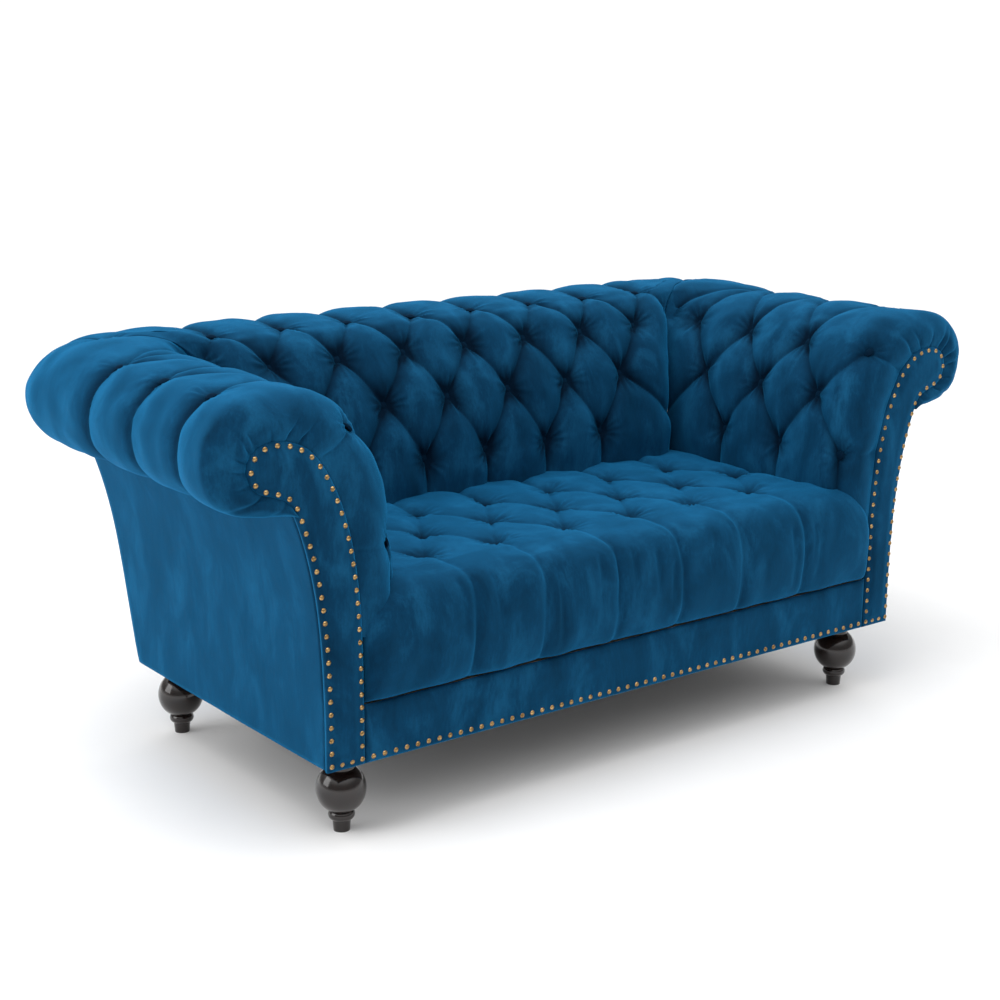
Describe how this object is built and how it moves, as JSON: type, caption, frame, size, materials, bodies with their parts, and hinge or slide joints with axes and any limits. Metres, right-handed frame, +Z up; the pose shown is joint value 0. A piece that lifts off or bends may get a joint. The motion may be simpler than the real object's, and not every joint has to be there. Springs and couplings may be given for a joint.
{
  "type": "two-seat scroll-arm sofa",
  "caption": "Scroll-arm two-seat sofa in deep-buttoned blue velvet with a fixed tufted seat, brass nail trim and turned dark wood bun legs.",
  "frame": {"origin": "on the floor under the middle of the sofa's bounding box", "axes": "+Z up, +X to the right of someone looking at the sofa's front, the front faces -Y"},
  "size_m": [1.584, 0.7933, 0.7141],
  "materials": {
    "velvet": "deep blue velvet with a short lying pile",
    "panel_velvet": "the same velvet pulled flat over board",
    "foam": "open-cell upholstery foam",
    "jute": "woven jute webbing",
    "lining": "stiff bonded-fibre lining",
    "dust_cloth": "black non-woven dust cloth",
    "hardwood": "sawn kiln-dried hardwood, unfinished",
    "plywood": "birch plywood, unfinished",
    "leg_wood": "turned hardwood, espresso stain under gloss lacquer",
    "nail_brass": "antiqued brass-plated nail heads",
    "spring_steel": "oil-tempered wire and zinc-plated steel"
  },
  "bodies": {
    "root": {"arm_buttons_left": "velvet", "arm_buttons_right": "velvet", "arm_cover_left": "velvet", "arm_cover_right": "velvet", "arm_facing_left": "panel_velvet", "arm_facing_right": "panel_velvet", "arm_foam_left": "foam", "arm_foam_right": "foam", "arm_front_board_left": "plywood", "arm_front_board_right": "plywood", "arm_lining_left": "lining", "arm_lining_right": "lining", "arm_nails_left": "nail_brass", "arm_nails_right": "nail_brass", "arm_rear_board_left": "plywood", "arm_rear_board_right": "plywood", "arm_tack_rail_left": "hardwood", "arm_tack_rail_right": "hardwood", "arm_top_rail_left": "hardwood", "arm_top_rail_right": "hardwood", "arm_webbing_left": "jute", "arm_webbing_right": "jute", "back_buttons": "velvet", "back_cover": "velvet", "back_foam": "foam", "back_lining": "lining", "back_post_left": "hardwood", "back_post_right": "hardwood", "back_rail": "hardwood", "back_ribs": "plywood", "back_tack_rail": "hardwood", "back_top_rail": "hardwood", "back_webbing": "jute", "centre_stretcher": "hardwood", "corner_blocks": "hardwood", "dust_cover": "dust_cloth", "front_rail": "hardwood", "front_rail_cover": "panel_velvet", "leg_bolts": "spring_steel", "leg_front_left": "leg_wood", "leg_front_right": "leg_wood", "leg_rear_left": "leg_wood", "leg_rear_right": "leg_wood", "outside_arm_panel_left": "panel_velvet", "outside_arm_panel_right": "panel_velvet", "outside_back_panel": "panel_velvet", "rail_nails": "nail_brass", "seat_cover": "velvet", "seat_foam": "foam", "seat_lining": "lining", "seat_springs": "spring_steel", "side_rail_left": "hardwood", "side_rail_right": "hardwood", "spring_clips": "spring_steel", "spring_ties": "jute", "tee_nuts": "spring_steel"}
  },
  "joints": []
}
